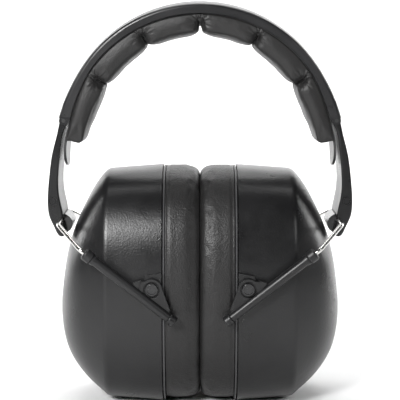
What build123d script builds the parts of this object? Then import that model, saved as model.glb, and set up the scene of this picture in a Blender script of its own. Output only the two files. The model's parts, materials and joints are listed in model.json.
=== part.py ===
"""Earmuff hearing protector: padded headband, two spreading arms, wire yokes and two deep ear cups.

Millimetres. X runs from the wearer's left cup (negative) to the other, Y front to back, Z up.
The origin is on the middle plane, at the height of the cups' flat bottoms.
The side at negative X is modelled and the other side is its mirror image.
"""
from build123d import *
from math import cos, radians, sin
import os

# side of the blocks and length of the rods that only cut: larger than the object
cutter = 200.0

# ---- headband curve, seen from the front: a crown arc that runs into a flatter arc on each side
crown_top_z = 188.6
crown_radius = 66.0
crown_half_angle = 53.0
side_radius = 86.0
roof_end_angle = 72.4
cheek_end_angle = 73.6
curve_turns = (0, 18, 36, 53, 63)

# ---- headband section
band_half_width_top = 19.0
band_half_width_end = 15.4
band_crowning = 1.6
band_edge_radius = 1.4
roof_thickness = 2.2
cheek_thickness = 1.6
cheek_blank_depth = 9.0
cheek_depths = {0: 5.7, 30: 5.4, 55: 4.8, 72: 6.0}
cheek_ear_start = (68.0, 0.9, 5.2)
liner_thickness = 1.2
liner_gap = 0.15
liner_side_inset = 1.9
liner_turns = (0, 18, 36, 53, 68)
tongue_tip_z = 111.2
tongue_path = ((-61.8, 130.1), (-63.6, 122.3), (-64.0, 116.4), (-63.7, tongue_tip_z))
tongue_half_width = 12.5

# ---- headband pad: six puffed lobes divided by creases, on a sleeve that wraps the liner's long edges
pad_gap = 0.1
pad_half_width_top = 18.2
pad_half_width_end = 14.8
pad_lobe_depth = 15.4
pad_crease_depth = 13.2
pad_crease_angles = (0.0, 28.0, 56.8)
pad_end_z = 122.1
pad_end_inner_x = 53.6
pad_last_lobe_middle = 69.0

# ---- arm and its pin
pin_x, pin_z = -63.4, 133.3
pin_radius = 0.9
pin_running_clearance = 0.05
eye_radius = 1.9
ear_radius = 2.1
arm_half_width = 13.5
arm_edge_radius = 0.8
# the arm's side outline, from the outer side of its eye down round the toe and up the inner side
arm_outline = ((-66.9, 126.3), (-69.0, 118.2), (-70.6, 107.4), (-71.5, 95.2), (-70.7, 87.9), (-68.4, 82.7),
               (-65.1, 78.6), (-63.4, 79.4), (-63.5, 82.8), (-64.5, 89.9), (-65.9, 97.0), (-66.4, 104.0),
               (-65.9, 112.1), (-64.9, 122.0), (-63.4, 128.8))
mark_x, mark_z = -68.7, 95.6
mark_radius = 2.0
mark_groove = 0.5

# ---- wire yoke
wire_radius = 1.0
wire_clearance = 0.06
wire_axis_x, wire_axis_z = -65.2, 86.2
wire_half_span = 27.0
wire_corner_radius = 3.0
wire_mouth_radius = 4.0

# ---- yoke clip
clip_half_width = 9.0
clip_side_gap = 0.1
clip_space_height = 30.0
clip_top_gap = 0.15
clip_chamfer = 0.6
clip_outline = ((-65.2, 88.8), (-63.6, 88.8), (-61.3, 87.3), (-60.0, 84.7), (-60.8, 81.7), (-62.6, 80.2),
                (-65.2, 79.9))

# ---- guide tubes and their bracket plates
guide_y = 45.0
mouth_x, mouth_z = -50.2, 74.7
end_x, end_z = -12.9, 45.4
tube_radius = 2.1
bead_radius = 2.9
bead_length = 4.6
neck_radius = 2.45
neck_length = 1.5
plug_radius = 2.65
plug_length = 3.6
wire_end_margin = 3.5
wire_bend_margin = 2.4
bead_edge_radius = 1.1
plug_edge_radius = 0.7
plug_groove = (1.2, 0.5, 0.3)
plate_thickness = 2.0
plate_outline = ((-30.0, 62.5), (-25.2, 62.9), (-17.2, 59.9), (-13.6, 50.1))
plate_foot = (24.8, 45.2)
gusset_outline = ((-30.0, 62.5), (-26.6, 63.5), (-28.0, 59.8))
gusset_rise = 0.8

# ---- pivot
pivot_x, pivot_z = -21.8, 59.3
pivot_pad_radius = 4.7
pivot_pin_radius = 1.8
pivot_running_clearance = 0.05
pin_foot_y = 38.8
button_radius = 2.85
button_recess_radius = 3.75
button_recess_depth = 1.2
button_thickness = 1.7
button_dish_depth = 0.7
button_rim_width = 0.7
button_edge_radius = 0.3

# ---- cup
cup_half_height = 56.4
cup_half_width = 41.0
cup_bottom_cut = 1.5
rim_x = -17.5
ridge_x = -43.5
ridge_radius = 5.0
wall_thickness = 2.4
hollow_overrun = 2.0
# sections from the ridge outwards: x, half height, half width, height of the centre
dome_sections = (
    (ridge_x, 54.4, 39.6, 55.0),
    (-47.0, 51.0, 37.4, 54.8),
    (-50.5, 47.0, 34.8, 53.8),
    (-55.4, 39.9, 30.6, 51.7),
    (-60.6, 30.0, 24.0, 49.0),
    (-64.0, 18.6, 16.0, 45.6),
    (-65.6, 9.6, 8.6, 43.5),
    (-66.2, 3.6, 3.2, 43.1),
)
boss_face_y = 42.6
boss_root = 6.0
boss_outline = ((-24.6, 65.0), (rim_x, 66.4), (rim_x, 48.0), (-22.0, 51.0), (-27.0, 57.0))

# ---- parts inside the cup and on its open side
plate_outer_x, plate_inner_x = -16.9, -16.2
cushion_face_x = -0.5
ear_half_height, ear_half_width = 31.0, 19.5
spigot_thickness = 1.6
spigot_clearance = 0.15
spigot_end_x = -23.0
cushion_edge_radius = 5.0
plate_inset, cushion_inset = 0.4, 0.6
cushion_lift = 0.3
plate_opening_margin = 1.0
liner_disc_thickness = 3.0
liner_disc_margin = 3.5
liner_disc_gap = 0.1
inner_plate_x = -42.0
inner_plate_thickness = 1.8
partition_gap = 0.2
foam_gap = 0.3
absorber_wall_gap = 1.0
absorber_floor = 8.0
absorber_hollow_margin = 4.0

oval_power = 2.6
oval_points = 20
mid_z = cup_half_height - cup_bottom_cut


def at(x, z, y=0.0):
    return Vector(x, y, z)


def band_point(angle, depth=0.0):
    """Point under the headband's crown line, where the line has turned by angle from level."""
    turn = abs(angle)
    centre_x, centre_z, radius = 0.0, crown_top_z - crown_radius, crown_radius
    if turn > crown_half_angle:
        extra = side_radius - crown_radius
        centre_x -= extra * sin(radians(crown_half_angle))
        centre_z -= extra * cos(radians(crown_half_angle))
        radius = side_radius
    x = centre_x + (radius - depth) * sin(radians(turn))
    z = centre_z + (radius - depth) * cos(radians(turn))
    return at(x if angle > 0 else -x, z)


def cheek_depth(angle):
    """Depth of the cheeks' lower edge below the crown line, interpolated between the given angles."""
    angles = sorted(cheek_depths)
    turn = min(abs(angle), angles[-1])
    for low, high in zip(angles, angles[1:]):
        if turn <= high:
            share = (turn - low) / (high - low)
            return cheek_depths[low] + share * (cheek_depths[high] - cheek_depths[low])


def slab(edges, half_width):
    """Front-view outline made solid, half_width to each side of the Y = 0 plane."""
    return Pos(0, -half_width, 0) * extrude(make_face(edges), amount=2 * half_width, dir=(0, 1, 0))


def closed(points):
    return Polyline(*[at(x, z) for x, z in points], close=True)


def side_taper(top_half_width, end_half_width):
    """Block that narrows from the crown down to the band's ends, and stays narrow below them."""
    level_z = band_point(cheek_end_angle).Z
    profile = ((-end_half_width, 0), (-end_half_width, level_z), (-top_half_width, crown_top_z),
               (-top_half_width, cutter))
    outline = [(0, y, z) for y, z in profile] + [(0, -y, z) for y, z in reversed(profile)]
    return Pos(-cutter / 2, 0, 0) * extrude(make_face(Polyline(*outline, close=True)), amount=cutter,
                                            dir=(1, 0, 0))


def band_sweep(section):
    """Section drawn at the crown, in the plane X = 0, carried round the band's three arcs."""
    crown_centre = crown_top_z - crown_radius
    crown_axis = Axis((0, 0, crown_centre), (0, 1, 0))
    half = revolve(section, crown_axis, crown_half_angle)
    extra = side_radius - crown_radius
    turn = radians(crown_half_angle)
    side_axis = Axis((-extra * sin(turn), 0, crown_centre - extra * cos(turn)), (0, 1, 0))
    side_turn = cheek_end_angle - crown_half_angle
    side = revolve(section.rotate(crown_axis, crown_half_angle), side_axis, side_turn)
    half = half + side
    return half + mirror(half, about=Plane.YZ)


def oval(x, half_height, half_width, centre_z):
    """Rounded oval in a plane of constant X: a superellipse drawn as one smooth loop."""
    loop = []
    for step in range(oval_points):
        turn = radians(360.0 * step / oval_points)
        c, s = cos(turn), sin(turn)
        y = half_width * abs(c) ** (2 / oval_power) * (1 if c >= 0 else -1)
        z = half_height * abs(s) ** (2 / oval_power) * (1 if s >= 0 else -1)
        loop.append((x, y, centre_z + z))
    return make_face(Spline(*loop, periodic=True))


def oval_block(x_from, x_to, inset=0.0, half_height=cup_half_height, half_width=cup_half_width):
    face = oval(x_from, half_height - inset, half_width - inset, mid_z)
    return extrude(face, amount=abs(x_to - x_from), dir=(1 if x_to > x_from else -1, 0, 0))


# ---- headband ------------------------------------------------------------------------------------
def curve_at(depth_of, last_angle):
    """Smooth front-view curve at depth_of(angle) below the crown line, from left end to right end."""
    half = [a for a in curve_turns if a < last_angle] + [last_angle]
    angles = [-a for a in reversed(half[1:])] + half
    return Spline(*[band_point(a, depth_of(a)) for a in angles])


def make_headband_shell():
    edge = crown_top_z - band_crowning
    low = crown_top_z - cheek_blank_depth
    wide = band_half_width_top
    outer = make_face([
        ThreePointArc((0, -wide, edge), (0, 0, crown_top_z), (0, wide, edge)),
        Line((0, wide, edge), (0, wide, low)), Line((0, wide, low), (0, -wide, low)),
        Line((0, -wide, low), (0, -wide, edge))])
    blank = round_outer_edges(band_sweep(outer) & side_taper(wide, band_half_width_end))
    end_depth = cheek_depth(cheek_end_angle)
    keep = slab([curve_at(lambda a: -1.0, cheek_end_angle), curve_at(cheek_depth, cheek_end_angle),
                 *[Line(band_point(a, -1.0), band_point(a, end_depth))
                   for a in (-cheek_end_angle, cheek_end_angle)]], cutter / 2)
    inner_width = wide - cheek_thickness
    hollow_face = make_face(Polyline(
        (0, -inner_width, crown_top_z - roof_thickness), (0, inner_width, crown_top_z - roof_thickness),
        (0, inner_width, low - 1), (0, -inner_width, low - 1), close=True))
    hollow = band_sweep(hollow_face) & side_taper(inner_width, band_half_width_end - cheek_thickness)
    shell = (blank & keep) - hollow
    for side in (-1, 1):
        shell = shell - roof_end_cut(side) + cheek_ears(side) - pin_cylinder(pin_radius, cutter, side)
    return shell


def roof_end_cut(side):
    """Space between the two cheeks at the band's end, where the arm's eye goes."""
    over, under = -3.0, 12.0
    corners = [(roof_end_angle, over), (roof_end_angle, under), (roof_end_angle + 6, under),
               (roof_end_angle + 6, over)]
    outline = Polyline(*[band_point(side * a, depth) for a, depth in corners], close=True)
    return slab([outline], band_half_width_end - cheek_thickness)


def round_outer_edges(blank):
    """Fillets the two long edges where the band's outer face meets its front and back."""
    long_edges = blank.edges().filter_by(lambda e: crown_depth(e @ 0.5) < band_crowning + 0.5
                                         and abs((e @ 0.5).Y) > band_half_width_end - 1 and e.length > 10)
    return fillet(long_edges, band_edge_radius)


def crown_depth(point):
    """How far a point lies below the crown line, seen from the front."""
    x, z = abs(point.X), point.Z - (crown_top_z - crown_radius)
    if x * cos(radians(crown_half_angle)) > z * sin(radians(crown_half_angle)):
        extra = side_radius - crown_radius
        x += extra * sin(radians(crown_half_angle))
        z += extra * cos(radians(crown_half_angle))
        return side_radius - (x * x + z * z) ** 0.5
    return crown_radius - (x * x + z * z) ** 0.5


def cheek_ears(side):
    """Round ends of the two cheeks, about the arm's pin."""
    angle, outer_depth, inner_depth = cheek_ear_start
    ear = slab([Polyline(band_point(side * angle, outer_depth), band_point(side * angle, inner_depth),
                         at(side * (-pin_x - ear_radius), pin_z), at(side * (-pin_x + ear_radius), pin_z),
                         close=True)], band_half_width_end)
    ear = ear + pin_cylinder(ear_radius, 2 * band_half_width_end, side)
    return ear - Box(cutter, 2 * (band_half_width_end - cheek_thickness), 2 * cutter)


def pin_cylinder(radius, length, side=-1):
    return Pos(-side * pin_x, 0, pin_z) * Rot(90, 0, 0) * Cylinder(radius, length)


def liner_curve(extra):
    """Whole liner surface as one smooth curve, extra towards the wearer's head."""
    left_tongue = [at(x + extra, z) for x, z in reversed(tongue_path)]
    turns = [-a for a in reversed(liner_turns[1:])] + list(liner_turns)
    arch = [band_point(a, cheek_depth(a) + extra) for a in turns]
    right_tongue = [at(-p.X, p.Z) for p in reversed(left_tongue)]
    return Spline(*(left_tongue + arch + right_tongue))


def liner_strip(margin=0.0):
    """The liner before its ends are rounded, or the room for it when margin is given."""
    top, bottom = liner_curve(liner_gap - margin), liner_curve(liner_gap + liner_thickness + margin)
    strip = slab([top, bottom, Line(top @ 0, bottom @ 0), Line(top @ 1, bottom @ 1)], cutter / 2)
    inset = liner_side_inset - margin
    return strip & side_taper(band_half_width_top - inset, band_half_width_end - inset)


def make_headband_liner():
    below = Box(cutter, cutter, cutter, align=(Align.CENTER, Align.CENTER, Align.MAX))
    round_end = Rot(0, 90, 0) * Cylinder(tongue_half_width, 2 * cutter)
    return liner_strip() - Pos(0, 0, tongue_tip_z + tongue_half_width) * (below - round_end)


def make_headband_pad():
    surface = liner_curve(liner_gap)
    lobes = []
    creases = [-a for a in reversed(pad_crease_angles[1:])] + list(pad_crease_angles)
    for start, stop in zip(creases, creases[1:]):
        middle = (start + stop) / 2
        lobes.append(ThreePointArc(crease_point(start), lobe_point(middle), crease_point(stop)))
    for side in (-1, 1):
        low_corner, low_back = at(side * pad_end_inner_x, pad_end_z), surface @ (0 if side < 0 else 1)
        lobes.append(ThreePointArc(crease_point(side * creases[-1]), lobe_point(side * pad_last_lobe_middle),
                                   low_corner))
        lobes.append(Polyline(low_corner, at(side * pad_end_inner_x, tongue_tip_z), low_back))
    below = Pos(0, 0, pad_end_z - cutter / 2) * Box(cutter, cutter, cutter)
    body = (slab(lobes + [surface], cutter / 2) - below) & side_taper(pad_half_width_top, pad_half_width_end)
    return body - liner_strip(pad_gap)


def crease_point(angle):
    return band_point(angle, pad_crease_depth)


def lobe_point(angle):
    return band_point(angle, pad_lobe_depth)


# ---- arm -----------------------------------------------------------------------------------------
def make_arm():
    eye_outer, eye_inner = at(pin_x - eye_radius, pin_z), at(pin_x + eye_radius, pin_z)
    outline = Spline(eye_outer, *[at(x, z) for x, z in arm_outline], eye_inner,
                     tangents=[(-0.25, 0, -1), (0.25, 0, 1)])
    eye_top = ThreePointArc(eye_inner, at(pin_x, pin_z + eye_radius), eye_outer)
    arm = slab([outline, eye_top], arm_half_width)
    side_edges = arm.edges().filter_by(lambda e: abs((e @ 0.5).Y) > arm_half_width - 0.1)
    arm = fillet(side_edges, arm_edge_radius)
    arm = arm - pin_cylinder(pin_radius + pin_running_clearance, cutter)
    clip_top = max(z for _, z in clip_outline) + clip_top_gap
    clip_space = Pos(wire_axis_x, 0, clip_top) * Box(
        cutter, 2 * (clip_half_width + clip_side_gap), clip_space_height,
        align=(Align.MIN, Align.CENTER, Align.MAX))
    arm = arm - clip_space - wire_groove()
    for side in (-1, 1):
        ring = Cylinder(mark_radius, 2 * mark_groove) - Cylinder(mark_radius - mark_groove, 2 * mark_groove)
        arm = arm - Pos(mark_x, side * arm_half_width, mark_z) * Rot(90, 0, 0) * ring
    return arm


def wire_groove():
    """Slot for the wire's cross piece, round at the bottom and open towards the cup."""
    bore = wire_radius + wire_clearance
    groove = Rot(90, 0, 0) * Cylinder(bore, cutter)
    slot = Box(cutter, cutter, 2 * bore, align=(Align.MIN, Align.CENTER, Align.CENTER))
    return Pos(wire_axis_x, 0, wire_axis_z) * (groove + slot)


def make_yoke_clip():
    block = slab([closed(clip_outline)], clip_half_width)
    bore = Pos(wire_axis_x, 0, wire_axis_z) * Rot(90, 0, 0) * Cylinder(wire_radius + wire_clearance, cutter)
    front_edges = block.edges().filter_by(Axis.Y).sort_by(Axis.X)[-3:]
    return chamfer(front_edges, clip_chamfer) - bore


# ---- wire yoke -----------------------------------------------------------------------------------
guide_length = ((end_x - mouth_x) ** 2 + (end_z - mouth_z) ** 2) ** 0.5
slope_x = (end_x - mouth_x) / guide_length
slope_z = (end_z - mouth_z) / guide_length


def along_guide(distance, y):
    """Point on a guide's axis, distance inwards from the middle of its mouth bead."""
    return Vector(mouth_x + distance * slope_x, y, mouth_z + distance * slope_z)


def make_wire_yoke():
    bend = -(bead_length / 2 + wire_bend_margin)
    leg_end = guide_length - wire_end_margin
    points = [along_guide(leg_end, -guide_y), along_guide(bend, -guide_y),
              at(wire_axis_x, wire_axis_z, -wire_half_span), at(wire_axis_x, wire_axis_z, wire_half_span),
              along_guide(bend, guide_y), along_guide(leg_end, guide_y)]
    radii = [wire_mouth_radius, wire_corner_radius, wire_corner_radius, wire_mouth_radius]
    path = FilletPolyline(*points, radius=radii)
    section = Plane(path @ 0, z_dir=path % 0) * Circle(wire_radius)
    return sweep(section, path)


# ---- guides, one in front of the cup and one behind it --------------------------------------------
def guide_plane(distance, side):
    """Plane across a guide's axis, facing down the guide."""
    return Plane(along_guide(distance, side * guide_y), z_dir=(slope_x, 0, slope_z))


def rod(distance, length, radius, side):
    low = Align.MIN
    return guide_plane(distance, side) * Cylinder(radius, length, align=(Align.CENTER, Align.CENTER, low))


def sided(shape, y_from, y_to, side):
    """Front-view outline given thickness between two distances from the middle plane."""
    base = extrude(make_face(shape), amount=y_to - y_from, dir=(0, side, 0))
    return Pos(0, side * y_from, 0) * base


def make_guide(side):
    back = guide_y - tube_radius
    front = back + plate_thickness
    tube = rod(bead_length / 2 + neck_length, guide_length - bead_length / 2 - neck_length - plug_length / 2,
               tube_radius, side)
    neck = rod(bead_length / 2, neck_length, neck_radius, side)
    left, right = [along_guide(distance, 0) for distance in plate_foot]
    plate = sided(closed([(left.X, left.Z), *plate_outline, (right.X, right.Z)]), back, front, side)
    pad = Pos(pivot_x, side * (back + front) / 2, pivot_z) * Rot(90, 0, 0) * Cylinder(
        pivot_pad_radius, plate_thickness)
    gusset = sided(closed(gusset_outline), back, front + gusset_rise, side)
    guide = tube + neck + plate + pad + gusset
    hole = Pos(pivot_x, side * guide_y, pivot_z) * Rot(90, 0, 0) * Cylinder(
        pivot_pin_radius + pivot_running_clearance, cutter / 2)
    recess = Pos(pivot_x, side * (front - button_recess_depth), pivot_z) * Rot(-90 * side, 0, 0) * Cylinder(
        button_recess_radius, cutter, align=(Align.CENTER, Align.CENTER, Align.MIN))
    bore = rod(-cutter, 2 * cutter, wire_radius + wire_clearance, side)
    return guide - hole - recess - bore


def make_grommets():
    """Rounded bead round each wire where it enters its guide."""
    beads = []
    for side in (-1, 1):
        bead = rod(-bead_length / 2, bead_length, bead_radius, side)
        bead = fillet(bead.edges().filter_by(GeomType.CIRCLE), bead_edge_radius)
        beads.append(bead - rod(-cutter, 2 * cutter, wire_radius + wire_clearance, side))
    return Compound(children=beads)


def make_end_plugs():
    """Cap with a groove on the inner end of each guide."""
    plugs = []
    start = guide_length - plug_length / 2
    groove_at, groove_width, groove_depth = plug_groove
    for side in (-1, 1):
        plug = rod(start, plug_length, plug_radius, side)
        plug = fillet(plug.edges().filter_by(GeomType.CIRCLE), plug_edge_radius)
        groove = (rod(start + groove_at, groove_width, plug_radius + 1, side)
                  - rod(start + groove_at, groove_width, plug_radius - groove_depth, side))
        plugs.append(plug - groove)
    return Compound(children=plugs)


# ---- cup -----------------------------------------------------------------------------------------
def cup_form(inset):
    """Outer form of the cup, or its hollow when inset is the wall thickness."""
    sections = [oval(x + inset, half_height - inset, half_width - inset, centre_z)
                for x, half_height, half_width, centre_z in dome_sections if half_width > 2 * inset]
    mouth_level = rim_x + (hollow_overrun if inset else 0)
    rim = oval(mouth_level, cup_half_height - inset, cup_half_width - inset, mid_z)
    wall = loft([rim, sections[0]], ruled=True)
    return wall + loft(sections)


def make_cup_shell():
    form = cup_form(0)
    ridge = form.edges().filter_by(lambda e: abs(e.center().X - ridge_x) < 0.5 and e.length > cup_half_height)
    form = fillet(ridge, ridge_radius)
    for side in (-1, 1):
        form = form + sided(closed(boss_outline), cup_half_width - boss_root, boss_face_y, side)
    pins = Pos(pivot_x, 0, pivot_z) * Rot(90, 0, 0) * Cylinder(pivot_pin_radius, cutter)
    return (form - cup_form(wall_thickness) - pins) & above(0)


def above(level):
    """Everything over a height, as a block."""
    return Pos(0, 0, level + cutter / 2) * Box(2 * cutter, cutter, cutter)


def make_pivot_pins():
    """Headed pin in each boss, with a dished button on its outer end."""
    pins = []
    back = guide_y - tube_radius
    seat = back + plate_thickness - button_recess_depth + pivot_running_clearance
    shaft_length = seat - pin_foot_y
    low = (Align.CENTER, Align.CENTER, Align.MIN)
    hollow_radius = button_radius - button_rim_width
    for side in (-1, 1):
        base = Pos(pivot_x, side * pin_foot_y, pivot_z) * Rot(side * -90, 0, 0)
        pin = Cylinder(pivot_pin_radius, shaft_length, align=low)
        button = Cylinder(button_radius, button_thickness, align=low)
        button = Pos(0, 0, shaft_length) * fillet(button.edges().group_by(Axis.Z)[-1], button_edge_radius)
        top = shaft_length + button_thickness
        dish = Pos(0, 0, top - button_dish_depth) * Cylinder(hollow_radius, cutter, align=low)
        notch = Pos(0, hollow_radius, top) * Box(button_rim_width, 1.0, 1.0)
        pins.append(base * (pin + button - dish - notch))
    return Compound(children=pins)


def ear_hollow(x_from, x_to, margin=0.0):
    """Block the size of the opening for the ear, wider by margin."""
    return oval_block(x_from, x_to, -margin, ear_half_height, ear_half_width)


def inside_cup(x_from, x_to, gap):
    """Slice of the cup's hollow between two X positions, clear of its wall by gap."""
    between = Pos((x_from + x_to) / 2, 0, 0) * Box(abs(x_to - x_from), cutter, 2 * cutter)
    return cup_form(wall_thickness + gap) & between & above(wall_thickness + gap)


def make_inner_plate():
    """Stiff partition behind the absorber."""
    return inside_cup(inner_plate_x, inner_plate_x + inner_plate_thickness, partition_gap)


def make_absorber_foam():
    """Foam dish that lines the cup in front of the partition, hollow over the ear."""
    start = inner_plate_x + inner_plate_thickness + foam_gap
    block = inside_cup(start, spigot_end_x - foam_gap, absorber_wall_gap)
    return block - ear_hollow(start + absorber_floor, 0, absorber_hollow_margin)


def make_cushion_plate():
    """Backing ring that the ear cushion is fixed to, with a spigot that snaps into the cup."""
    ring = oval_block(plate_outer_x, plate_inner_x, plate_inset) & above(0)
    spigot = inside_cup(spigot_end_x, plate_outer_x, spigot_clearance)
    spigot = spigot - oval_block(spigot_end_x - 1, plate_outer_x, wall_thickness + spigot_thickness)
    return ring + spigot - ear_hollow(spigot_end_x - 1, 0, plate_opening_margin)


def make_ear_cushion():
    """Soft ring against the head, plain here."""
    body = oval_block(plate_inner_x, cushion_face_x, cushion_inset)
    face_edge = body.faces().sort_by(Axis.X)[-1].edges()
    body = fillet(face_edge, cushion_edge_radius) & above(cushion_lift)
    return body - ear_hollow(plate_inner_x - 1, cushion_face_x + 1)


def make_ear_liner():
    """Thin foam disc behind the ear opening."""
    face = plate_outer_x - liner_disc_gap
    return ear_hollow(face - liner_disc_thickness, face, liner_disc_margin)


side_parts = {
    "arm_pin": lambda: pin_cylinder(pin_radius, 2 * band_half_width_end),
    "arm": make_arm,
    "yoke_clip": make_yoke_clip,
    "wire_yoke": make_wire_yoke,
    "front_guide": lambda: make_guide(-1),
    "rear_guide": lambda: make_guide(1),
    "guide_grommets": make_grommets,
    "guide_end_plugs": make_end_plugs,
    "pivot_pins": make_pivot_pins,
    "cup_shell": make_cup_shell,
    "inner_plate": make_inner_plate,
    "absorber_foam": make_absorber_foam,
    "cushion_plate": make_cushion_plate,
    "ear_cushion": make_ear_cushion,
    "ear_liner": make_ear_liner,
}

os.makedirs("parts", exist_ok=True)
export_step(make_headband_shell(), "parts/headband_shell.step")
export_step(make_headband_liner(), "parts/headband_liner.step")
export_step(make_headband_pad(), "parts/headband_pad.step")
for name, make in side_parts.items():
    shape = make()
    export_step(shape, f"parts/left_{name}.step")
    export_step(mirror(shape, about=Plane.YZ), f"parts/right_{name}.step")
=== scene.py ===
"""Earmuff hearing protector: materials, soft pieces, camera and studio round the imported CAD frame."""
import json
import math
import bmesh
import bpy
import numpy as np
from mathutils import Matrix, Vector, noise


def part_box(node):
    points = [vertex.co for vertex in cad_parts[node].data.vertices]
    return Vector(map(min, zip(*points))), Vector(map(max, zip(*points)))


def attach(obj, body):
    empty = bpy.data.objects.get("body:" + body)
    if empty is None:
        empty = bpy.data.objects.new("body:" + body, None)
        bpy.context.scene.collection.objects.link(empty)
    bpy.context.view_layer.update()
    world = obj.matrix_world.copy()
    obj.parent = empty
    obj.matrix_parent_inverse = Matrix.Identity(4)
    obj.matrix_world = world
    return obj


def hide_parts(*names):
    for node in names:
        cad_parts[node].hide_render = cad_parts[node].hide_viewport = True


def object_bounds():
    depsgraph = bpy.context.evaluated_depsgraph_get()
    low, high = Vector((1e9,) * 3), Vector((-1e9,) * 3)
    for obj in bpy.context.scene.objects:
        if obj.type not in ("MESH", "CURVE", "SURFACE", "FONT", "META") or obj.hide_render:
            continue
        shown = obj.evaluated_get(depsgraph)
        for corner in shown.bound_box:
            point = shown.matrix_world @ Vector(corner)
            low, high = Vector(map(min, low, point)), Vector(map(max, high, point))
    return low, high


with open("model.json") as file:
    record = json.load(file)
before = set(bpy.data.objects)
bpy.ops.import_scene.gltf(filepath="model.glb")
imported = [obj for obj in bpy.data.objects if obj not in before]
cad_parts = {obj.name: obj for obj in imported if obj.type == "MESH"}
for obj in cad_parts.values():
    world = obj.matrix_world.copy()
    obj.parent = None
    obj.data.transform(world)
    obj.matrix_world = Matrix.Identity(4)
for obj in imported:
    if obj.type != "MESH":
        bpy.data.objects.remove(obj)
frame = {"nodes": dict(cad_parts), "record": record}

cad_low, cad_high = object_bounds()
MM = 0.001
SIDES = ("left", "right")
TOP_Z = cad_high.z

# ---- headband curve of the CAD frame, seen from the front
CROWN_RADIUS = 66.0 * MM
CROWN_HALF_ANGLE = math.radians(53.0)
SIDE_RADIUS = 86.0 * MM

# ---- pad
LOBE_CREASES = (0.0, 28.0, 56.8)
PAD_END_TURN = math.radians(80.5)
PAD_END_RADIUS = 2.2 * MM
PAD_HALF_WIDTH_TOP = 18.2 * MM
PAD_HALF_WIDTH_END = 14.8 * MM
PAD_BACK_DEPTHS = ((0, 7.15), (30, 6.85), (55, 6.25), (72, 7.5))
PAD_EDGE_RISE = 1.2 * MM
PAD_FACE_DEPTH = 14.5 * MM
PAD_CROWNING = 1.5 * MM
PAD_SLIT_HALF_GAP = 0.55 * MM
PAD_SLIT_FLOOR = 11.6 * MM
PAD_PIT_RISE = 2.9 * MM
PAD_LIP_RADIUS = 1.25 * MM
PAD_PINCH = 3.2 * MM
PAD_PUFF_LIMIT = 0.45 * MM
PAD_BACK_GAP = 0.1 * MM
PAD_WAVE = 0.25 * MM
PAD_SIDE_SWELL = 0.4 * MM
PAD_SIDE_FOLD, PAD_FACE_FOLD = 0.26 * MM, 0.20 * MM
PAD_PINCH_DEPTHS = (7.4 * MM, 10.2 * MM)

# ---- cups and cushions
OVAL_POWER = 2.6
EAR_HALF_HEIGHT, EAR_HALF_WIDTH = 31.0 * MM, 19.5 * MM
CUSHION_LOOPS = 250
CUSHION_WALL_STEPS, CUSHION_FACE_STEPS = 14, 16
CUSHION_FACE_GROWTH = 0.45 * MM
CUSHION_HALF_GAP = 0.06 * MM
CUSHION_OVERHANG = 0.2 * MM
CUSHION_PUFF_LIMIT = 1.1 * MM
WELD_PLACE, WELD_WIDTH, WELD_DEPTH = 0.075, 0.03, 0.55 * MM
CONTACT_WAVE = 0.7 * MM
CUSHION_FOLD = 0.22 * MM
FLOOR_CLEARANCE = 0.2 * MM

# ---- foam liners behind the ear openings
LINER_LOOPS = 96
LINER_CROWN = 0.5 * MM
LINER_DIMPLE = 0.25 * MM
# (share of the radius, share of the thickness) from the middle of the back round the edge to the face's middle
LINER_SECTION = ((0.04, 0.0), (0.4, 0.0), (0.75, 0.0), (0.95, 0.0), (0.985, 0.12), (1.0, 0.35), (1.0, 0.6),
                 (0.985, 0.85), (0.95, 0.97), (0.9, 1.0), (0.8, 1.0), (0.7, 1.0), (0.6, 1.0), (0.5, 1.0),
                 (0.4, 1.0), (0.3, 1.0), (0.2, 1.0), (0.12, 1.0), (0.04, 1.0))


# ==== small helpers ==========================================================================
def link(obj):
    bpy.context.scene.collection.objects.link(obj)
    return obj


def new_mesh(name, verts, faces, smooth=True):
    mesh = bpy.data.meshes.new(name)
    mesh.from_pydata([tuple(v) for v in verts], [], faces)
    mesh.validate()
    if smooth:
        mesh.polygons.foreach_set("use_smooth", [True] * len(mesh.polygons))
    return link(bpy.data.objects.new(name, mesh))


def apply_modifiers(obj):
    """Bakes the object's modifiers into its mesh."""
    graph = bpy.context.evaluated_depsgraph_get()
    mesh = bpy.data.meshes.new_from_object(obj.evaluated_get(graph))
    obj.modifiers.clear()
    old = obj.data
    obj.data = mesh
    bpy.data.meshes.remove(old)
    obj.data.polygons.foreach_set("use_smooth", [True] * len(obj.data.polygons))


def coords(obj):
    co = np.zeros(len(obj.data.vertices) * 3)
    obj.data.vertices.foreach_get("co", co)
    return co.reshape(-1, 3)


def vertex_normals(obj):
    normals = np.zeros(len(obj.data.vertices) * 3)
    obj.data.vertices.foreach_get("normal", normals)
    return normals.reshape(-1, 3)


def set_coords(obj, co):
    obj.data.vertices.foreach_set("co", np.asarray(co, float).ravel())
    obj.data.update()


def smoothstep(low, high, value):
    t = np.clip((value - low) / (high - low), 0.0, 1.0)
    return t * t * (3 - 2 * t)


# ==== materials =====================================================================================
def material(name, color, roughness, metallic=0.0, coat=0.0, coat_roughness=0.1, specular=0.5):
    """A Principled material, and its node tree to add detail to."""
    mat = bpy.data.materials.new(name)
    mat.use_nodes = True
    tree = mat.node_tree
    shader = tree.nodes["Principled BSDF"]
    shader.inputs["Base Color"].default_value = (*color, 1.0)
    shader.inputs["Roughness"].default_value = roughness
    shader.inputs["Metallic"].default_value = metallic
    shader.inputs["Coat Weight"].default_value = coat
    shader.inputs["Coat Roughness"].default_value = coat_roughness
    shader.inputs["Specular IOR Level"].default_value = specular
    mat.diffuse_color = (*color, 1.0)
    return mat, tree, shader


def node(tree, kind, inputs=(), **settings):
    made = tree.nodes.new(kind)
    for key, value in settings.items():
        setattr(made, key, value)
    for key, value in dict(inputs).items():
        made.inputs[key].default_value = value
    return made


def position(tree):
    return node(tree, "ShaderNodeTexCoord").outputs["Object"]


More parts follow.
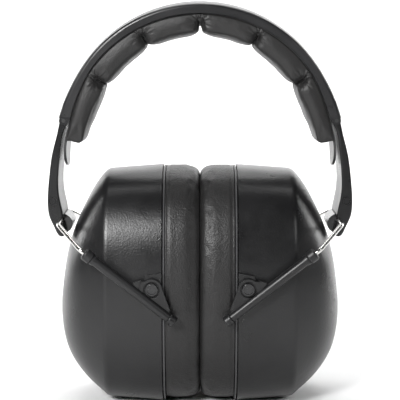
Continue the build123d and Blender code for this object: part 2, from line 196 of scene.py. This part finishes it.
def noise_texture(tree, scale, detail=3.0, roughness=0.5, vector=None):
    tex = node(tree, "ShaderNodeTexNoise", {"Scale": scale, "Detail": detail, "Roughness": roughness})
    tree.links.new(vector or position(tree), tex.inputs["Vector"])
    return tex.outputs["Fac"]


def voronoi(tree, scale, feature="F1", vector=None, randomness=1.0):
    tex = node(tree, "ShaderNodeTexVoronoi", {"Scale": scale, "Randomness": randomness}, feature=feature)
    tree.links.new(vector or position(tree), tex.inputs["Vector"])
    return tex.outputs["Distance"]


def math_node(tree, operation, a, b):
    made = node(tree, "ShaderNodeMath", operation=operation)
    for index, value in enumerate((a, b)):
        if isinstance(value, (int, float)):
            made.inputs[index].default_value = value
        else:
            tree.links.new(value, made.inputs[index])
    return made.outputs["Value"]


def remap(tree, value, low, high, to_low, to_high):
    made = node(tree, "ShaderNodeMapRange", {"From Min": low, "From Max": high, "To Min": to_low,
                                             "To Max": to_high})
    tree.links.new(value, made.inputs["Value"])
    return made.outputs["Result"]


def color_mix(tree, factor, dark, light):
    made = node(tree, "ShaderNodeMix", data_type="RGBA")
    made.inputs["A"].default_value = (*dark, 1.0)
    made.inputs["B"].default_value = (*light, 1.0)
    tree.links.new(factor, made.inputs["Factor"])
    return made.outputs["Result"]


def bump(tree, height, strength, distance, below=None):
    made = node(tree, "ShaderNodeBump", {"Strength": strength, "Distance": distance})
    tree.links.new(height, made.inputs["Height"])
    if below is not None:
        tree.links.new(below, made.inputs["Normal"])
    return made.outputs["Normal"]


def stretched(tree, scale):
    mapping = node(tree, "ShaderNodeMapping")
    mapping.inputs["Scale"].default_value = scale
    tree.links.new(position(tree), mapping.inputs["Vector"])
    return mapping.outputs["Vector"]


def moulded_plastic(name, color, roughness, grain_scale, grain_strength, coat=0.0, coat_roughness=0.15,
                    specular=0.5):
    """Black moulded plastic: spark-eroded grain, faint mottling and rub marks."""
    mat, tree, shader = material(name, color, roughness, coat=coat, coat_roughness=coat_roughness,
                                 specular=specular)
    link_to = tree.links.new
    grain = noise_texture(tree, grain_scale, 2.0, 0.6)
    coarse = noise_texture(tree, grain_scale * 0.23, 3.0, 0.55)
    wide = noise_texture(tree, 42.0, 4.0, 0.6)
    rub = noise_texture(tree, 1.0, 2.0, 0.5, stretched(tree, (90.0, 90.0, 900.0)))
    both = math_node(tree, "ADD", math_node(tree, "MULTIPLY", grain, 0.65),
                     math_node(tree, "MULTIPLY", coarse, 0.35))
    normal = bump(tree, both, grain_strength, 0.00012)
    link_to(normal, shader.inputs["Normal"])
    rough = remap(tree, wide, 0.3, 0.7, roughness - 0.05, roughness + 0.06)
    rough = math_node(tree, "ADD", rough, remap(tree, rub, 0.62, 0.78, 0.0, 0.05))
    link_to(rough, shader.inputs["Roughness"])
    lighter = tuple(c * 1.35 + 0.002 for c in color)
    link_to(color_mix(tree, remap(tree, wide, 0.35, 0.7, 0.0, 1.0), color, lighter),
            shader.inputs["Base Color"])
    return mat


def leatherette(name, color, cell_scale, strength, roughness=0.42):
    """Black leatherette: small pebbled cells, finer pores, soft folds and worn, shinier patches, with painted
    shade darkening the hollows between the cells.
    """
    mat, tree, shader = material(name, color, roughness, specular=0.5)
    link_to = tree.links.new
    warp = node(tree, "ShaderNodeTexNoise", {"Scale": 900.0, "Detail": 2.0})
    link_to(position(tree), warp.inputs["Vector"])
    shift = node(tree, "ShaderNodeVectorMath", operation="SCALE")
    shift.inputs["Scale"].default_value = 0.0008
    link_to(warp.outputs["Color"], shift.inputs[0])
    warped = node(tree, "ShaderNodeVectorMath", operation="ADD")
    link_to(position(tree), warped.inputs[0])
    link_to(shift.outputs["Vector"], warped.inputs[1])
    cells = voronoi(tree, cell_scale, "SMOOTH_F1", warped.outputs["Vector"])
    pebble = remap(tree, cells, 0.15, 0.75, 1.0, 0.0)
    fine = noise_texture(tree, cell_scale * 2.3, 3.0, 0.6)
    folds = noise_texture(tree, 230.0, 3.0, 0.55, stretched(tree, (1.0, 0.42, 0.8)))
    height = math_node(tree, "ADD", math_node(tree, "MULTIPLY", pebble, 0.7),
                       math_node(tree, "MULTIPLY", fine, 0.5))
    normal = bump(tree, folds, 0.30, 0.0007)
    normal = bump(tree, height, strength, 0.00018, normal)
    link_to(normal, shader.inputs["Normal"])
    wear = noise_texture(tree, 34.0, 4.0, 0.6)
    rough = math_node(tree, "ADD", remap(tree, pebble, 0.0, 1.0, roughness + 0.10, roughness - 0.03),
                      remap(tree, wear, 0.35, 0.7, -0.05, 0.06))
    link_to(rough, shader.inputs["Roughness"])
    # painted shade: the colour darkens in the low hollows between the pebbles, and the wear patches add a
    # random tone on top
    dark = tuple(c * 0.8 for c in color)
    hollow_shade_and_wear_tone = math_node(tree, "MULTIPLY", pebble, remap(tree, wear, 0.3, 0.7, 0.7, 1.0))
    link_to(color_mix(tree, hollow_shade_and_wear_tone, dark, color), shader.inputs["Base Color"])
    shader.inputs["Sheen Weight"].default_value = 0.04
    shader.inputs["Sheen Roughness"].default_value = 0.5
    return mat


def drawn_steel(name):
    mat, tree, shader = material(name, (0.80, 0.79, 0.77), 0.2, metallic=1.0)
    lines = noise_texture(tree, 1.0, 3.0, 0.6, stretched(tree, (900.0, 160.0, 900.0)))
    pits = noise_texture(tree, 700.0, 2.0, 0.6)
    tree.links.new(bump(tree, lines, 0.12, 0.00006), shader.inputs["Normal"])
    tree.links.new(remap(tree, pits, 0.3, 0.75, 0.13, 0.3), shader.inputs["Roughness"])
    tree.links.new(color_mix(tree, remap(tree, lines, 0.35, 0.7, 0.0, 1.0), (0.72, 0.71, 0.69),
                             (0.86, 0.85, 0.83)), shader.inputs["Base Color"])
    return mat


def open_foam(name, color):
    mat, tree, shader = material(name, color, 0.95, specular=0.1)
    cells = voronoi(tree, 1500.0)
    tree.links.new(bump(tree, cells, 0.8, 0.0005), shader.inputs["Normal"])
    # painted shade: the colour darkens to a quarter in the sunken middles of the cells, where the pores lie
    dark = tuple(c * 0.25 for c in color)
    tree.links.new(color_mix(tree, remap(tree, cells, 0.1, 0.55, 0.0, 1.0), dark, color),
                   shader.inputs["Base Color"])
    return mat


MATERIALS = {
    "shell_plastic": moulded_plastic("band_plastic", (0.014, 0.014, 0.015), 0.30, 2600.0, 0.30),
    "arm_plastic": moulded_plastic("arm_plastic", (0.006, 0.006, 0.0065), 0.30, 3000.0, 0.14, coat=0.0),
    "clip_plastic": moulded_plastic("clip_plastic", (0.009, 0.009, 0.010), 0.2, 3000.0, 0.08, coat=0.3),
    "guide_plastic": moulded_plastic("guide_plastic", (0.008, 0.008, 0.0085), 0.38, 3000.0, 0.12, coat=0.0),
    "button_plastic": moulded_plastic("button_plastic", (0.012, 0.012, 0.013), 0.22, 3000.0, 0.10, coat=0.25),
    "cup_plastic": moulded_plastic("cup_plastic", (0.008, 0.008, 0.0085), 0.31, 1250.0, 0.9),
    "plate_plastic": moulded_plastic("plate_plastic", (0.05, 0.05, 0.052), 0.38, 2200.0, 0.25),
    "liner_plastic": moulded_plastic("liner_plastic", (0.035, 0.035, 0.036), 0.34, 2400.0, 0.25),
    "pad_leatherette": leatherette("pad_leatherette", (0.013, 0.0125, 0.0125), 1900.0, 0.35),
    "cushion_leatherette": leatherette("cushion_leatherette", (0.013, 0.0125, 0.0125), 1500.0, 0.5),
    "foam": open_foam("ear_foam", (0.10, 0.10, 0.105)),
    "steel": drawn_steel("drawn_steel"),
    "dark_steel": moulded_plastic("blackened_steel", (0.02, 0.02, 0.02), 0.35, 3000.0, 0.1, specular=0.8),
}


def dress(obj, slot):
    obj.data.materials.clear()
    obj.data.materials.append(MATERIALS[slot])
    return obj


def dress_cad_nodes():
    for part in frame["record"]["subparts"]:
        dress(frame["nodes"][part["node"]], part["material_slot"])


# ==== soft pieces: shared ==========================================================================
def puff(obj, pinned, pressure, cap, frames=16, enlarge=20.0, stiffness=12.0):
    """Cloth pass: fills the cover with pressure while pinned points stay, and caps how far a point moves.
    It runs on a copy enlarged to the size that the solver's settings are meant for."""
    start = coords(obj)
    sim = link(bpy.data.objects.new(obj.name + "_sim", obj.data.copy()))
    set_coords(sim, start * enlarge)
    group = sim.vertex_groups.new(name="pin")
    group.add([int(i) for i in np.flatnonzero(pinned)], 1.0, "REPLACE")
    cloth = sim.modifiers.new("cloth", "CLOTH")
    settings = cloth.settings
    settings.quality = 6
    settings.mass = 0.3
    settings.tension_stiffness = settings.compression_stiffness = stiffness
    settings.shear_stiffness = stiffness / 2
    settings.bending_stiffness = 0.4
    settings.use_pressure = True
    settings.uniform_pressure_force = pressure
    settings.vertex_group_mass = "pin"
    settings.effector_weights.gravity = 0.0
    cloth.point_cache.frame_start = 1
    cloth.point_cache.frame_end = frames
    scene = bpy.context.scene
    for frame_number in range(1, frames + 1):
        scene.frame_set(frame_number)
    graph = bpy.context.evaluated_depsgraph_get()
    mesh = sim.evaluated_get(graph).to_mesh()
    moved = np.zeros(len(mesh.vertices) * 3)
    mesh.vertices.foreach_get("co", moved)
    shift = moved.reshape(-1, 3) / enlarge - start
    length = np.linalg.norm(shift, axis=1, keepdims=True)
    shift = shift * (cap * np.tanh(length / cap) / np.maximum(length, 1e-9))
    set_coords(obj, start + shift)
    scene.frame_set(1)
    mesh = sim.data
    bpy.data.objects.remove(sim)
    bpy.data.meshes.remove(mesh)


def subdivide(obj, levels=1):
    smooth = obj.modifiers.new("smooth", "SUBSURF")
    smooth.levels = smooth.render_levels = levels
    apply_modifiers(obj)


def loops_mesh(name, rows, closed_rows):
    """Quads between neighbouring closed rows of points; the last row meets the first if closed_rows."""
    count = len(rows[0])
    verts = [point for row in rows for point in row]
    faces = []
    last = len(rows) if closed_rows else len(rows) - 1
    for i in range(last):
        j = (i + 1) % len(rows)
        for k in range(count):
            m = (k + 1) % count
            faces.append((i * count + k, i * count + m, j * count + m, j * count + k))
    if not closed_rows:
        faces.append(tuple(range(count - 1, -1, -1)))
        faces.append(tuple((len(rows) - 1) * count + k for k in range(count)))
    return new_mesh(name, verts, faces)


def face_outwards(obj):
    """Turns the faces outwards, which is also the way that the pressure pushes."""
    mesh = bmesh.new()
    mesh.from_mesh(obj.data)
    bmesh.ops.recalc_face_normals(mesh, faces=mesh.faces)
    mesh.to_mesh(obj.data)
    mesh.free()


# ==== headband pad ==================================================================================
def band_point(turn, depth):
    """(x, z) under the headband's crown line, where the line has turned by turn radians from level."""
    angle = abs(turn)
    centre_x, centre_z, radius = 0.0, TOP_Z - CROWN_RADIUS, CROWN_RADIUS
    if angle > CROWN_HALF_ANGLE:
        extra = SIDE_RADIUS - CROWN_RADIUS
        centre_x -= extra * math.sin(CROWN_HALF_ANGLE)
        centre_z -= extra * math.cos(CROWN_HALF_ANGLE)
        radius = SIDE_RADIUS
    x = centre_x + (radius - depth) * math.sin(angle)
    z = centre_z + (radius - depth) * math.cos(angle)
    return math.copysign(x, turn), z


def arc_length(turn):
    """Signed distance along the pad's inner face from its middle."""
    angle = abs(turn)
    length = min(angle, CROWN_HALF_ANGLE) * (CROWN_RADIUS - PAD_FACE_DEPTH)
    length += max(angle - CROWN_HALF_ANGLE, 0.0) * (SIDE_RADIUS - PAD_FACE_DEPTH)
    return math.copysign(length, turn)


def turn_at(length):
    """The opposite of arc_length."""
    crown = CROWN_HALF_ANGLE * (CROWN_RADIUS - PAD_FACE_DEPTH)
    distance = abs(length)
    turn = min(distance, crown) / (CROWN_RADIUS - PAD_FACE_DEPTH)
    turn += max(distance - crown, 0.0) / (SIDE_RADIUS - PAD_FACE_DEPTH)
    return math.copysign(turn, length)


def pad_stations(slits, end):
    """Distances along the pad: close together at the slits and the ends, wider over the lobes."""
    stations, place = [], -end
    while place < end - 0.0001:
        stations.append(place)
        near = min(min(abs(place - s) for s in slits), end - abs(place))
        place += 0.00022 + 0.00055 * float(smoothstep(0.001, 0.004, near))
    return stations + [end]


def pad_half_width(z):
    share = (z - 0.131) / (TOP_Z - 0.131)
    return PAD_HALF_WIDTH_END + (PAD_HALF_WIDTH_TOP - PAD_HALF_WIDTH_END) * min(max(share, 0.0), 1.0)


def pad_row(place, slits, end):
    """One closed section of the pad, at a distance along it."""
    turn = turn_at(place)
    nearest = min(slits, key=lambda s: abs(place - s))
    off = abs(place - nearest)
    half = pad_half_width(band_point(turn, PAD_FACE_DEPTH)[1])
    back = float(np.interp(math.degrees(abs(turn)), *zip(*PAD_BACK_DEPTHS))) * MM + PAD_BACK_GAP
    lobe = [s for s in slits if s <= place][-1:] or [-end]
    after = [s for s in slits if s > place][:1] or [end]
    share = (place - lobe[0]) / (after[0] - lobe[0])
    swell = 1 - abs(2 * share - 1) ** 4
    round_end = corner(end - abs(place), PAD_END_RADIUS)
    row = []
    for across, depth_share in PAD_SECTION:
        y_share = abs(across)
        gap = PAD_SLIT_HALF_GAP * (0.62 if abs(nearest) > 0.01 else 1.0) * (1 + 1.3 * y_share ** 10)
        floor = PAD_SLIT_FLOOR - PAD_PIT_RISE * y_share ** 5
        face = PAD_FACE_DEPTH + PAD_CROWNING * (1 - y_share ** 2.4) * swell
        wave = noise.noise(Vector((place * 300, across * 4, 0.3)))
        face += PAD_WAVE * wave * (1 - y_share ** 4)
        if off < gap:
            deepest = floor
        else:
            deepest = face - corner(off - gap, PAD_LIP_RADIUS)
        deepest = max(deepest - round_end, back + 0.0006)
        high = back - PAD_EDGE_RISE * float(smoothstep(0.93, 0.97, y_share))
        depth = high + (deepest - high) * depth_share
        pinch = PAD_PINCH * math.exp(-(off / 0.0021) ** 2) * float(smoothstep(*PAD_PINCH_DEPTHS, depth))
        side_swell = PAD_SIDE_SWELL * swell * math.sin(math.pi * depth_share)
        y = across * (half - pinch * y_share ** 3 + side_swell - 0.6 * round_end * y_share)
        x, z = band_point(turn, depth)
        row.append((x, y, z))
    return row


def corner(distance, radius):
    """How far a rounded corner lies under the face, at a distance from the corner's side."""
    if distance >= radius:
        return 0.0
    share = 1 - max(distance, 0.0) / radius
    return radius * (1 - math.sqrt(max(1 - share * share, 0.0)))


def pad_section():
    """(share of the half width, share of the depth) round the pad, with rounded front and back edges."""
    points = []
    flat, edge, side = 46, 5, 9
    for i in range(flat + 1):
        points.append((-0.93 + 1.86 * i / flat, 1.0))
    for i in range(1, edge):
        turn = math.pi / 2 * i / edge
        points.append((0.93 + 0.07 * math.sin(turn), 0.84 + 0.16 * math.cos(turn)))
    for i in range(side + 1):
        points.append((1.0, 0.84 - 0.70 * i / side))
    for i in range(1, edge):
        turn = math.pi / 2 * i / edge
        points.append((0.95 + 0.05 * math.cos(turn), 0.14 - 0.14 * math.sin(turn)))
    outer = 14
    for i in range(outer + 1):
        points.append((0.95 - 1.90 * i / outer, 0.0))
    for i in range(1, edge):
        turn = math.pi / 2 * i / edge
        points.append((-0.95 - 0.05 * math.sin(turn), 0.14 - 0.14 * math.cos(turn)))
    for i in range(side + 1):
        points.append((-1.0, 0.14 + 0.70 * i / side))
    for i in range(1, edge):
        turn = math.pi / 2 * i / edge
        points.append((-0.93 - 0.07 * math.cos(turn), 0.84 + 0.16 * math.sin(turn)))
    return points


PAD_SECTION = pad_section()


def wrinkle_pad(pad, slits):
    """Fine folds that run out from each pit, on the front and back and on the inner face."""
    co = coords(pad)
    normals = vertex_normals(pad)
    for index, slit in enumerate(slits):
        turn = turn_at(slit)
        for side in (-1, 1):
            pit_x, pit_z = band_point(turn, PAD_SLIT_FLOOR - PAD_PIT_RISE + 0.001)
            dx, dz = co[:, 0] - pit_x, co[:, 2] - pit_z
            distance = np.hypot(dx, dz)
            angle = np.arctan2(dz, dx)
            phase = 2.1 * index + 0.9 * side
            folds = np.sin(11 * angle + phase) * 0.6 + np.sin(17 * angle - 1.7 * phase) * 0.4
            near = np.exp(-((distance - 0.0025) / 0.0024) ** 2) * (np.sign(co[:, 1]) == side)
            on_side = smoothstep(0.5, 0.9, np.abs(normals[:, 1]))
            co += normals * (folds * near * on_side * PAD_SIDE_FOLD)[:, None]
        along = np.hypot(co[:, 0] - band_point(turn, PAD_FACE_DEPTH)[0],
                         co[:, 2] - band_point(turn, PAD_FACE_DEPTH)[1])
        ridges = np.sin(co[:, 1] * 2700 + 3 * np.sin(co[:, 1] * 410 + index)) * np.exp(-along / 0.0028)
        on_face = 1 - smoothstep(0.3, 0.7, np.abs(normals[:, 1]))
        co += normals * (ridges * on_face * PAD_FACE_FOLD)[:, None]
    set_coords(pad, co)


def make_pad():
    """Six puffed lobes of one sleeve, parted by pinched slits that open on the wearer's side."""
    turns = [side * crease for crease in LOBE_CREASES for side in (-1, 1) if crease or side > 0]
    slits = sorted(arc_length(math.radians(turn)) for turn in turns)
    end = arc_length(PAD_END_TURN)
    rows = [pad_row(place, slits, end) for place in pad_stations(slits, end)]
    pad = loops_mesh("headband_pad_sleeve", rows, False)
    face_outwards(pad)
    depth_share = np.array([share for row in rows for _, share in PAD_SECTION])
    places = np.repeat(pad_stations(slits, end), len(PAD_SECTION))
    off = np.min(np.abs(places[:, None] - np.array(slits)[None, :]), axis=1)
    puff(pad, (depth_share < 0.12) | (off < PAD_SLIT_HALF_GAP * 1.2), pressure=5.0,
         cap=PAD_PUFF_LIMIT)
    subdivide(pad)
    wrinkle_pad(pad, slits)
    dress(pad, "pad_leatherette")
    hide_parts("headband_pad")
    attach(pad, "headband")
    return pad


# ==== ear cushions ==================================================================================
def oval(turn, half_width, half_height):
    c, s = math.cos(turn), math.sin(turn)
    power = 2 / OVAL_POWER
    return half_width * math.copysign(abs(c) ** power, c), half_height * math.copysign(abs(s) ** power, s)


def cushion_section():
    """(share of the depth from the plate to the face, share from the outer wall to the ear opening)."""
    points = []
    for i in range(CUSHION_WALL_STEPS + 1):
        points.append((0.03 + 0.77 * i / CUSHION_WALL_STEPS, 0.0))
    for i in range(1, 6):
        turn = math.pi / 2 * i / 6
        points.append((0.80 + 0.20 * math.sin(turn), 0.14 - 0.14 * math.cos(turn)))
    for i in range(CUSHION_FACE_STEPS + 1):
        points.append((1.0, 0.14 + 0.68 * i / CUSHION_FACE_STEPS))
    for i in range(1, 6):
        turn = math.pi / 2 * i / 6
        points.append((0.72 + 0.28 * math.cos(turn), 0.82 + 0.18 * math.sin(turn)))
    for i in range(CUSHION_WALL_STEPS):
        points.append((0.72 - 0.69 * i / CUSHION_WALL_STEPS, 1.0))
    for i in range(CUSHION_FACE_STEPS // 2 + 1):
        points.append((0.0, 0.98 - 0.96 * i / (CUSHION_FACE_STEPS // 2)))
    return points


def shared_face(y, z):
    """Soft wave of the plane in which the two cushions press on each other."""
    return CONTACT_WAVE * noise.noise(Vector((y * 70, z * 28, 4.0)))


def make_cushion(side):
    """Ring of foam in leatherette, welded to its plate along a rim, and flat where it meets the other one."""
    low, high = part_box(side + "_ear_cushion")
    sign = -1 if side == "left" else 1
    plate_x, face_x = (low.x, high.x) if side == "left" else (high.x, low.x)
    depth = abs(face_x - plate_x) + CUSHION_FACE_GROWTH
    mid_z = (low.z + high.z) / 2
    half_height, half_width = mid_z - low.z + CUSHION_OVERHANG, (high.y - low.y) / 2
    rows = []
    for i in range(CUSHION_LOOPS):
        turn = 2 * math.pi * i / CUSHION_LOOPS
        outer, inner = oval(turn, half_width, half_height), oval(turn, EAR_HALF_WIDTH, EAR_HALF_HEIGHT)
        row = []
        for along, across in CUSHION_SECTION:
            y = outer[0] + (inner[0] - outer[0]) * across
            z = mid_z + outer[1] + (inner[1] - outer[1]) * across
            row.append((plate_x - sign * depth * along, y, z))
        rows.append(row)
    cushion = loops_mesh(side + "_ear_cushion_cover", rows, True)
    face_outwards(cushion)
    along = np.tile([a for a, _ in CUSHION_SECTION], CUSHION_LOOPS)
    across = np.tile([c for _, c in CUSHION_SECTION], CUSHION_LOOPS)
    puff(cushion, along < 0.06, pressure=3.0, cap=CUSHION_PUFF_LIMIT, enlarge=10.0)
    crease_cushion(cushion, sign, along, across)
    subdivide(cushion)
    wrinkle_cushion(cushion, sign)
    dress(cushion, "cushion_leatherette")
    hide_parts(side + "_ear_cushion")
    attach(cushion, side + "_cup")
    return cushion


def crease_cushion(cushion, sign, along, across):
    """Draws the cover in at its welded rim, and presses the face flat on the shared plane."""
    co = coords(cushion)
    middle = np.array([0.0, co[:, 2].mean()])
    outward = co[:, 1:] - middle
    outward /= np.linalg.norm(outward, axis=1, keepdims=True)
    at_wall = (across < 0.1) * 1.0
    weld = np.exp(-((along - WELD_PLACE) / WELD_WIDTH) ** 2) * at_wall
    co[:, 1:] -= outward * (WELD_DEPTH * weld)[:, None]
    limit = np.array([shared_face(y, z) for y, z in co[:, 1:]]) + sign * CUSHION_HALF_GAP
    over = sign * (limit - co[:, 0])
    co[:, 0] = np.where(over > 0, limit, co[:, 0])
    co[:, 2] = np.maximum(co[:, 2], 0.25 * MM)
    set_coords(cushion, co)


def wrinkle_cushion(cushion, sign):
    """Shallow folds in patches over the walls; each cushion has its own pattern."""
    co = coords(cushion)
    normals = vertex_normals(cushion)
    height = np.zeros(len(co))
    seed = 3.0 if sign < 0 else 11.0
    for i, (x, y, z) in enumerate(co):
        patch = 0.35 + 0.9 * max(noise.noise(Vector((x * 60, y * 22, z * 22 + seed))), 0.0)
        place = Vector((x * 420, y * 330, z * 330 + seed))
        fold = noise.noise(place + 0.8 * noise.noise_vector(place * 0.45))
        height[i] = patch * (0.5 - abs(fold)) * CUSHION_FOLD
    free = np.abs(normals[:, 0]) < 0.85
    co += normals * (height * free)[:, None]
    co[:, 2] = np.maximum(co[:, 2], FLOOR_CLEARANCE)
    set_coords(cushion, co)


CUSHION_SECTION = cushion_section()


# ==== foam liners behind the ear openings ============================================================
def make_ear_liner(side):
    """Thin disc of open foam, crowned towards the ear, with a rounded edge and soft dimples."""
    low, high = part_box(side + "_ear_liner")
    sign = -1 if side == "left" else 1
    back_x, face_x = (low.x, high.x) if side == "left" else (high.x, low.x)
    half_width, half_height = (high.y - low.y) / 2, (high.z - low.z) / 2
    mid_z, thickness = (low.z + high.z) / 2, abs(face_x - back_x)
    rows = []
    for share, depth in LINER_SECTION:
        row = []
        for i in range(LINER_LOOPS):
            y, z = oval(2 * math.pi * i / LINER_LOOPS, half_width * share, half_height * share)
            dimple = LINER_DIMPLE * noise.noise(Vector((y * 260, z * 260, 5.0 + sign))) * depth
            crown = LINER_CROWN * (1 - share ** 2) * depth
            row.append((back_x - sign * (thickness * depth + crown + dimple), y, mid_z + z))
        rows.append(row)
    liner = loops_mesh(side + "_ear_liner_foam", rows, False)
    face_outwards(liner)
    subdivide(liner)
    dress(liner, "foam")
    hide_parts(side + "_ear_liner")
    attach(liner, side + "_cup")
    return liner


# ==== studio ========================================================================================
FLOOR_SIZE, BACK_Y, BACK_HEIGHT = 3.0, 1.1, 1.6
BEND_RADIUS, BEND_STEPS = 0.5, 12
WORLD_STRENGTH = 0.025
# name, place, target, size, power
LAMPS = (
    ("key", (-0.31, -0.62, 0.41), (-0.03, 0, 0.08), 0.18, 5.5),
    ("fill", (0.62, -0.66, 0.46), (0.02, 0, 0.08), 0.20, 0.9),
    ("back_left", (-0.75, 0.45, 0.35), (0.1, 1.1, 0.35), 0.5, 7.0),
    ("back_right", (0.75, 0.45, 0.35), (-0.1, 1.1, 0.35), 0.5, 7.0),
    ("overhead", (0, 0.45, 1.25), (0, 0.30, 0.0), 0.9, 11.0),
)
CAMERA_DISTANCE, CAMERA_ELEVATION, CAMERA_TARGET_Z = 0.650, math.radians(7.3), 0.0943
CAMERA_LENS, CAMERA_SENSOR = 122.2, 36.0


def make_studio():
    """A pale floor that curves up into a back wall, area lamps and a faint even world light."""
    profile = [(-FLOOR_SIZE, 0.0)]
    for step in range(BEND_STEPS + 1):
        turn = math.pi / 2 * step / BEND_STEPS
        profile.append((BACK_Y - BEND_RADIUS + BEND_RADIUS * math.sin(turn),
                        BEND_RADIUS - BEND_RADIUS * math.cos(turn)))
    profile.append((BACK_Y, BACK_HEIGHT))
    verts = [(x, y, z) for y, z in profile for x in (-FLOOR_SIZE, FLOOR_SIZE)]
    faces = [(2 * i, 2 * i + 1, 2 * i + 3, 2 * i + 2) for i in range(len(profile) - 1)]
    floor = new_mesh("floor", verts, faces)
    mat, tree, shader = material("pale_floor", (0.93, 0.93, 0.93), 0.6)
    wide = noise_texture(tree, 6.0, 3.0, 0.5)
    tree.links.new(color_mix(tree, wide, (0.92, 0.92, 0.92), (0.95, 0.95, 0.95)), shader.inputs["Base Color"])
    floor.data.materials.append(mat)
    for lamp in LAMPS:
        add_area(*lamp)
    world = bpy.data.worlds.new("studio")
    bpy.context.scene.world = world
    world.use_nodes = True
    background = world.node_tree.nodes["Background"]
    background.inputs["Color"].default_value = (1, 1, 1, 1)
    background.inputs["Strength"].default_value = WORLD_STRENGTH
    bpy.context.scene.view_settings.view_transform = "Standard"


def add_area(name, place, target, size, power):
    data = bpy.data.lights.new(name, "AREA")
    data.size = size
    data.energy = power
    lamp = link(bpy.data.objects.new(name, data))
    lamp.location = place
    lamp.rotation_euler = (Vector(target) - Vector(place)).to_track_quat("-Z", "Y").to_euler()
    return lamp


def make_camera():
    data = bpy.data.cameras.new("camera")
    data.lens = CAMERA_LENS
    data.sensor_width = CAMERA_SENSOR
    data.clip_start = 0.01
    camera = link(bpy.data.objects.new("camera", data))
    camera.location = (0, -CAMERA_DISTANCE * math.cos(CAMERA_ELEVATION),
                       CAMERA_TARGET_Z + CAMERA_DISTANCE * math.sin(CAMERA_ELEVATION))
    camera.rotation_euler = (math.pi / 2 - CAMERA_ELEVATION, 0, 0)
    bpy.context.scene.camera = camera


dress_cad_nodes()
make_pad()
for side_name in SIDES:
    make_cushion(side_name)
    make_ear_liner(side_name)
make_camera()
make_studio()
